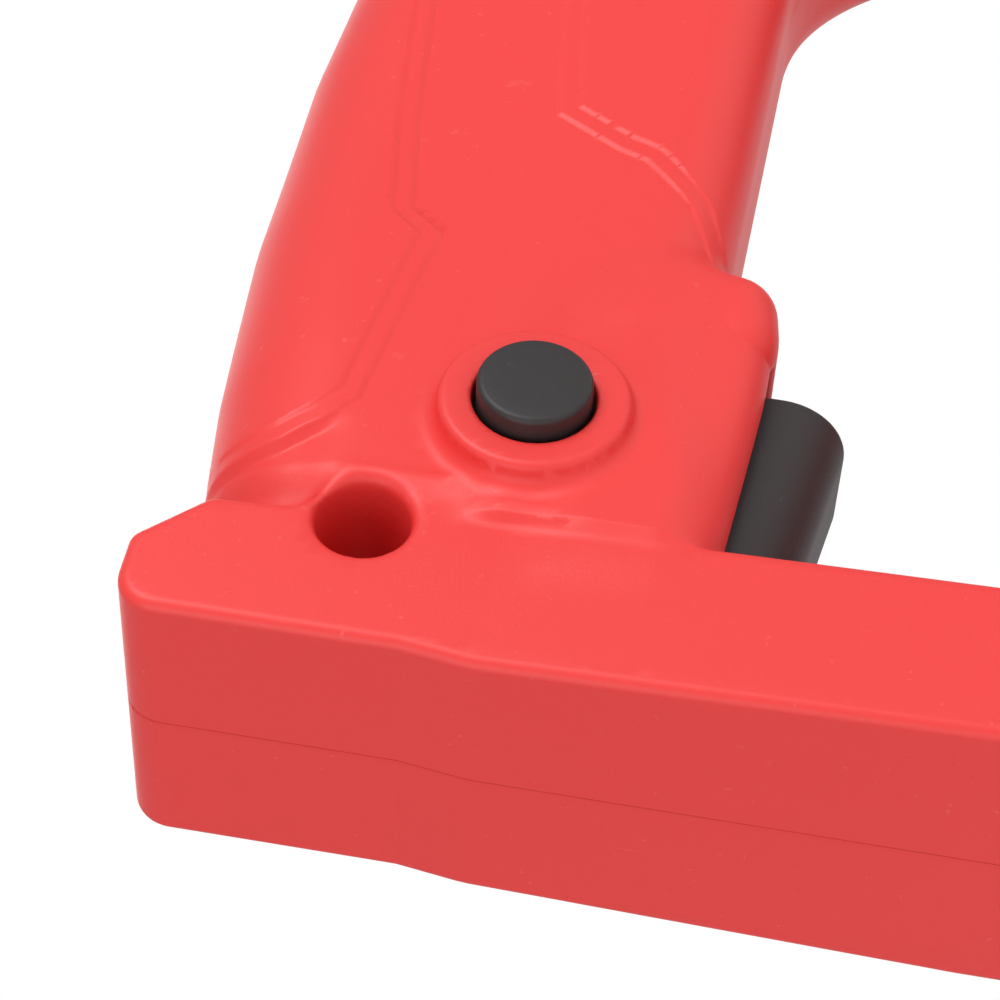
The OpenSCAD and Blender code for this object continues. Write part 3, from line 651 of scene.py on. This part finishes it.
def refine(distance, p, triangles, held, limit, least, detail=None):
    """Splits the edges across which the surface turns more than `limit` degrees, or with detail."""
    g = slope(distance, p)
    normals = g / np.maximum(np.linalg.norm(g, axis=1, keepdims=True), 1e-6)
    sides = np.concatenate([triangles[:, (0, 1)], triangles[:, (1, 2)], triangles[:, (2, 0)]])
    edges, which = np.unique(np.sort(sides, 1), axis=0, return_inverse=True)
    first, last = edges.T
    turn = np.einsum("ij,ij->i", normals[first], normals[last])
    both_rim = (held[first] == RIM) & (held[last] == RIM)
    marked = (turn < math.cos(math.radians(limit))) & (np.linalg.norm(p[first] - p[last], axis=1) > least)
    if detail is not None:
        fine, outer = detail(p), np.einsum("ij,ij->i", g, p * np.array([0, 1, 0])) > 0
        wanted = fine & outer
        marked |= wanted[first] & wanted[last] & (np.linalg.norm(p[first] - p[last], axis=1) > 0.42)
    marked &= (held[first] != CAP) & (held[last] != CAP) & ~(both_rim & (turn < -0.2))
    middle = np.full(len(edges), -1)
    middle[marked] = len(p) + np.arange(marked.sum())
    new_held = np.where(both_rim[marked], RIM, FREE)
    added = settle(distance, (p[first[marked]] + p[last[marked]]) / 2, new_held)
    p, held = np.concatenate([p, added]), np.concatenate([held, new_held])
    a, b, c = triangles.T
    ab, bc, ca = middle[which.reshape(3, -1)]
    out = []
    for _ in range(3):
        one = (ab >= 0) & (bc < 0) & (ca < 0)
        out += [np.stack([a, ab, c], 1)[one], np.stack([ab, b, c], 1)[one]]
        two = (ab >= 0) & (bc >= 0) & (ca < 0)
        out += [np.stack([a, ab, c], 1)[two], np.stack([ab, bc, c], 1)[two], np.stack([ab, b, bc], 1)[two]]
        a, b, c, ab, bc, ca = b, c, a, bc, ca, ab
    three = (ab >= 0) & (bc >= 0) & (ca >= 0)
    out += [np.stack(t, 1)[three] for t in ((a, ab, ca), (ab, b, bc), (ca, bc, c), (ab, bc, ca))]
    none = (ab < 0) & (bc < 0) & (ca < 0)
    return p, np.concatenate([triangles[none], *out]), held


def grown(distance, axes, limits, least=0.25):
    """Vertices in millimetres, and triangles, of a shape given by its distance."""
    points, quads, _, _ = surface_net(distance, axes)
    held = np.zeros(len(points), int)
    points = settle(distance, points)
    triangles = np.concatenate([quads[:, (0, 1, 2)], quads[:, (0, 2, 3)]])
    for limit in limits:
        points, triangles, held = refine(distance, points, triangles, held, limit, least)
    return points, triangles


def shade_by(distance, made, flat=()):
    """Takes the shading normals from the distance; faces whose index is in `flat` stay flat."""
    mesh = made.data
    points = np.array([from_button(v.co) for v in mesh.vertices])
    g = slope(distance, points)
    normals = g / np.maximum(np.linalg.norm(g, axis=1, keepdims=True), 1e-6)
    per_loop = np.zeros(len(mesh.loops), np.int32)
    mesh.loops.foreach_get("vertex_index", per_loop)
    loops = normals[per_loop]
    flat_normals = {f: tuple(mesh.polygons[f].normal) for f in flat}
    for f, normal in flat_normals.items():
        polygon = mesh.polygons[f]
        loops[polygon.loop_start:polygon.loop_start + polygon.loop_total] = normal
    mesh.normals_split_custom_set([tuple(n) for n in loops])


print("refinement ready")

# %% [markdown]
# The two shells are one shape cut along the middle. Each is grown on its own side of the parting
# plane, on a grid with thin layers beside the cut, and the vertices along the cut are put exactly on
# the plane. The cut edge is eased in a tenth of a millimetre, so the parting line shows as the fine
# groove that a mould leaves.

# %% the two shells
step = 1.3
LINE, GROOVE = 0.03, 0.12


def shell_half(name, side, node):
    """The shell on one side of the parting plane (-1 is the side with the button)."""
    def half(x, y, z):
        return np.maximum(shell_distance(x, y, z), LINE - side * y)

    x_axis, _, z_axis = grid((FRONT - 2, 0, FLOOR - 2), (REAR + 2, 1, TOP + 2), step)
    deep = np.array([-0.22, 0.28, 0.6, *np.arange(0.6 + step, 26, step)]) * side
    axes = [x_axis, np.sort(deep), z_axis]
    points, quads, cells, inside = surface_net(half, axes)
    layer = 0 if side > 0 else len(deep) - 2
    held = np.where(cells[:, 1] == layer, CAP, FREE)
    inner = inside[:, layer + (side > 0), :]
    corners = [inner[i:inner.shape[0] - 1 + i, k:inner.shape[1] - 1 + k] for i in (0, 1) for k in (0, 1)]
    count = sum(c.astype(int) for c in corners)[cells[:, 0], cells[:, 2]]
    held[(held == CAP) & (count < 4)] = RIM
    points[held > FREE, 1] = side * LINE
    points = settle(shell_distance, points, held, 3)
    triangles = np.concatenate([quads[:, (0, 1, 2)], quads[:, (0, 2, 3)]])
    for limit in (((18, 12, 40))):
        points, triangles, held = refine(shell_distance, points, triangles, held, limit, 0.25, near_bevel)
    g = slope(shell_distance, points)
    outward = g * np.array([1, 0, 1])
    outward /= np.maximum(np.linalg.norm(outward, axis=1, keepdims=True), 1e-6)
    points = points - outward * (GROOVE * (held == RIM))[:, None]
    made = mesh_object(name, points * MM + np.array(HOME), triangles, shell_red)
    flat = np.flatnonzero((held[triangles] > FREE).all(1))
    shade_by(shell_distance, made, flat)
    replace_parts(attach(made, "body"), node)
    print(name, len(triangles), "triangles,", len(flat), "on the cut")
    return made


left_shell = shell_half("left_shell", -1, "left_housing")
right_shell = shell_half("right_shell", 1, "right_housing")

# %% [markdown]
# The trigger is a D in section: flat sides that roll over into a full, round finger face. The face
# falls to the rear, where the section ends square. Its top hangs inside the shells on the pin.

# %% the trigger
tx0, tx1, tz0, half_width = TRIGGER
trigger_outline = rounded([(tx0 + 1, t_high.z - 1, 2), (tx0, -18, 2), (tx0, -40, 0), (tx1, -40, 0),
                           (tx1, -19.5, 1.0), (0, -15, 3), (pivot.x + 5, t_high.z - 1, 2)])
trigger_view = SideView(trigger_outline)


def trigger_distance(x, y, z):
    """The trigger's blade: D section, square ends with a slightly eased edge, and a pin hole."""
    face = tz0 + 0.152 * (tx1 - x) - z
    section = edged(face, np.abs(y) - half_width, 7.6)
    ends = trigger_view(x, z)
    solid = edged(ends, section, 0.7)
    pin = np.hypot(x - pivot.x, z - pivot.z) - 1.75
    return np.maximum(solid, -pin)


t_points, t_triangles = grown(trigger_distance, grid((tx0 - 1.5, -half_width - 1.5, tz0 - 1.5),
                              (tx1 + 1.5, half_width + 1.5, t_high.z + 1.5), 0.7), (16, 10), 0.12)
trigger_piece = mesh_object("trigger_piece", t_points * MM + np.array(HOME), t_triangles, button_black)
shade_by(trigger_distance, trigger_piece)
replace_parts(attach(trigger_piece, "trigger"), "trigger")
print("trigger:", len(t_triangles), "triangles")

# %% [markdown]
# Turned pieces are a profile spun about an axis; springs are a wire swept along a helix. Both are
# built ring by ring so that every vertex is where its formula puts it.

# %% turned pieces and springs
def basis(direction):
    """Two directions square to the given one."""
    d = Vector(direction).normalized()
    u = d.orthogonal().normalized()
    return d, u, d.cross(u)


def turned(name, origin, direction, profile, material, around=72):
    """A solid of revolution from (radius, distance along) pairs in millimetres."""
    d, u, v = basis(direction)
    rings = []
    for radius, along in profile:
        for k in range(around):
            a = 2 * math.pi * k / around
            rings.append(Vector(origin) + (d * along + (u * math.cos(a) + v * math.sin(a)) * radius) * MM)
    faces = [[r * around + k, r * around + (k + 1) % around, (r + 1) * around + (k + 1) % around,
              (r + 1) * around + k] for r in range(len(profile) - 1) for k in range(around)]
    made = mesh_object(name, rings, faces, material)
    work = bmesh.new()
    work.from_mesh(made.data)
    bmesh.ops.remove_doubles(work, verts=work.verts, dist=1e-6)
    bmesh.ops.recalc_face_normals(work, faces=work.faces)
    work.to_mesh(made.data)
    work.free()
    made.data.set_sharp_from_angle(angle=math.radians(38))
    return made


def arc(radius, middle_r, middle_a, start, end, count=6):
    """Points of an arc in a profile, angles in degrees from the radial direction."""
    turn = [math.radians(start + (end - start) * k / count) for k in range(count + 1)]
    return [(middle_r + radius * math.cos(t), middle_a + radius * math.sin(t)) for t in turn]


def helix(node, axis, wire, turns, radius, body, closed=1.0):
    """A compression spring in the box of its CAD node."""
    low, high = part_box(node)
    d = Vector([float(i == axis) for i in range(3)])
    _, u, v = basis(d)
    middle = (low + high) / 2
    length = (high - low)[axis] / MM - wire
    start = middle - d * (length / 2) * MM
    around, steps = 10, int((turns + 2 * closed) * 28)
    verts, faces = [], []
    for s in range(steps + 1):
        turn = (turns + 2 * closed) * s / steps
        slow = min(turn, closed) + min(max(turn - closed - turns, 0), closed)
        along = slow * wire + (length - 2 * closed * wire) * min(max(turn - closed, 0), turns) / turns
        a = 2 * math.pi * turn
        out = u * math.cos(a) + v * math.sin(a)
        for k in range(around):
            b = 2 * math.pi * k / around
            place = d * (along + wire / 2 * math.sin(b)) + out * (radius + wire / 2 * math.cos(b))
            verts.append(start + place * MM)
    for s in range(steps):
        for k in range(around):
            n = (k + 1) % around
            faces.append([s * around + k, s * around + n, (s + 1) * around + n, (s + 1) * around + k])
    faces += [list(range(around))[::-1], [steps * around + k for k in range(around)]]
    made = mesh_object(node + "_coil", verts, faces, spring_steel)
    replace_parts(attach(made, body), node)
    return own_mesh(made)


springs = [helix("trigger_spring", 2, 0.6, 4, 2.0, "body"),
           helix("lock_spring", 1, 0.7, 4, 4.2, "body"),
           helix("return_spring", 2, 0.8, 3.5, 5.3, "body"),
           helix("pusher_spring", 0, 0.5, 60, 2.1, "drawer"),
           helix("latch_spring", 2, 0.4, 3, 1.35, "drawer", 0.75)]
print("springs:", [len(made.data.polygons) for made in springs])

# %% [markdown]
# The lock button is a plain black pin with an eased rim and a very slightly domed top. Behind the
# ring it has a flange that stops it, and a stem that the spring sits on.

# %% the lock button
flange_r = (button_high.x - button_low.x) / 2 / MM
button_base = -button_high.y / MM
button_profile = [
    (0.0, BUTTON_TOP), (2.0, BUTTON_TOP - 0.01), (4.0, BUTTON_TOP - 0.04),
    *arc(0.7, BUTTON_R - 0.7, BUTTON_TOP - 0.76, 88, 0), (BUTTON_R, 19.6),
    *arc(0.3, flange_r - 0.3, 19.2, 90, 0, 3), (flange_r, 17.6), (2.6, 17.5), (2.6, button_base + 0.3),
    (2.3, button_base), (0.0, button_base)]
lock_button = turned("lock_button_piece", HOME, (0, -1, 0), button_profile, button_black)
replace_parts(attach(lock_button, "lock_button"), "lock_button")
print("button stands", round(BUTTON_TOP - RING_Y, 2), "mm above its ring")

# %% [markdown]
# The other pieces keep the frame's own solids. Each gets its finish, and those with pressed or
# machined edges get a small bevel, since no real edge is a perfect line.

# %% finishes of the frame's pieces
FINISHES = {
    screw_steel: "housing_screws nose_screws",
    bright_steel: "trigger_pin yoke nose_plate magazine_drawer pusher_rod latch_pin",
    tool_steel: "plunger driver_blade nose_guide staple_pusher",
    magazine_black: "magazine_channel",
    latch_black: "drawer_end drawer_latch cord_gland",
    switch_black: "microswitch thyristor",
    switch_red: "switch_button",
    copper_winding: "solenoid_coil",
    bobbin_nylon: "coil_bobbin",
    bumper_rubber: "top_bumper bottom_bumper",
    board_green: "control_board",
    capacitor_blue: "smoothing_capacitor",
    aluminium_fin: "heat_sink",
    terminal_white: "terminal_block",
    lead_sleeve: "coil_leads switch_leads mains_leads",
}
BEVELS = {0.0004: "nose_plate nose_guide cord_gland yoke microswitch terminal_block",
          0.0008: "drawer_end drawer_latch", 0.0002: "magazine_channel magazine_drawer staple_pusher"}
for material, names in FINISHES.items():
    for name in names.split():
        mesh = nodes[name].data
        mesh.materials.clear()
        mesh.materials.append(material)
for width, names in BEVELS.items():
    for name in names.split():
        bevel = nodes[name].modifiers.new("edges", "BEVEL")
        bevel.width, bevel.segments, bevel.limit_method = width, 3, "ANGLE"
        bevel.angle_limit = math.radians(40)
        bevel.harden_normals = True
print("finished", sum(len(names.split()) for names in FINISHES.values()), "pieces of the frame")

# %% [markdown]
# A plain pale floor under the gun, soft light from the button's side and above, and a near-white
# surround behind it as the main camera sees it. From other sides the surround falls to a light grey.

# %% floor and light
floor_finish = Finish("floor_paper", roughness=0.85)
floor_grain = floor_finish.noise(300, 4)
floor_finish.set(base_color=floor_finish.mix(floor_grain, (0.90, 0.90, 0.90), (0.94, 0.94, 0.94)))
floor_finish.bump(floor_grain, 0.05, 0.0002)
reach = 0.55
floor_corners = [(-reach, -reach, 0), (reach, -reach, 0), (reach, reach, 0), (-reach, reach, 0)]
floor = mesh_object("floor", floor_corners, [(0, 1, 2, 3)], floor_finish.material)
floor.location.z = -0.0006
floor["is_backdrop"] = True

BEHIND = Vector((0.67, 0.737, 0.09))
world = bpy.data.worlds.new("surround")
bpy.context.scene.world = world
world.use_nodes = True
sky, sky_links = world.node_tree.nodes, world.node_tree.links
facing = sky.new("ShaderNodeVectorMath")
facing.operation = "DOT_PRODUCT"
facing.inputs[1].default_value = BEHIND
sweep = sky.new("ShaderNodeValToRGB")
sweep.color_ramp.elements[0].position, sweep.color_ramp.elements[0].color = 0.72, (0.50, 0.50, 0.51, 1)
sweep.color_ramp.elements[1].position, sweep.color_ramp.elements[1].color = 0.94, (1.0, 1.0, 1.0, 1)
sky_links.new(sky.new("ShaderNodeTexCoord").outputs["Generated"], facing.inputs[0])
sky_links.new(facing.outputs["Value"], sweep.inputs[0])
sky_links.new(sweep.outputs[0], sky["Background"].inputs["Color"])
bpy.context.scene.view_settings.view_transform = "Standard"


def soft_light(name, place, target, size, power, colour=(1, 1, 1)):
    """A square area light that faces a point."""
    data = bpy.data.lights.new(name, "AREA")
    data.size, data.energy, data.color = size, power, colour
    made = bpy.data.objects.new(name, data)
    made.location = place
    made.rotation_euler = (Vector(target) - Vector(place)).to_track_quat("-Z", "Y").to_euler()
    bpy.context.scene.collection.objects.link(made)
    return made


middle = (0.0, 0.0, 0.12)
soft_light("key", (0.05, -0.75, 0.50), middle, 0.45, 4.2)
soft_light("fill", (-0.80, -0.15, 0.35), middle, 0.6, 2.0)
soft_light("back", (0.50, 0.55, 0.50), middle, 0.6, 1.0)
print("lights:", len(bpy.data.lights))

# %% [markdown]
# The camera is a long lens, so that the gun keeps its proportions from close by. Its three axes
# are given as rows, right, up and back, because it lies over on its side and an angle about each
# axis would be harder to read.

# %% the camera
camera_data = bpy.data.cameras.new("camera")
camera_data.lens, camera_data.sensor_width = 108.0, 36.0
camera_data.clip_start, camera_data.clip_end = 0.01, 10.0
camera = bpy.data.objects.new("camera", camera_data)
right, up = (0.17095, -0.03502, -0.98466), (0.72247, -0.67506, 0.14945)
back = (-0.66994, -0.73693, -0.09010)
turn = Matrix((right, up, back)).transposed().to_4x4()
camera.matrix_world = Matrix.Translation((-0.27229, -0.24102, 0.13225)) @ turn
bpy.context.scene.collection.objects.link(camera)
bpy.context.scene.camera = camera
print("camera at", [round(v, 3) for v in camera.location])

# %% [markdown]
# The box of the frame and the box of the finished model are printed side by side, so that a look at
# the printout shows whether anything stands proud of its real size.

# %% sizes and finish
bpy.context.view_layer.update()
looks_box = [list(corner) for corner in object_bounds()]
for name, a, b in zip("xyz", zip(*cad_box), zip(*looks_box)):
    print(name, "frame", [round(v / MM, 2) for v in a], "finished", [round(v / MM, 2) for v in b])
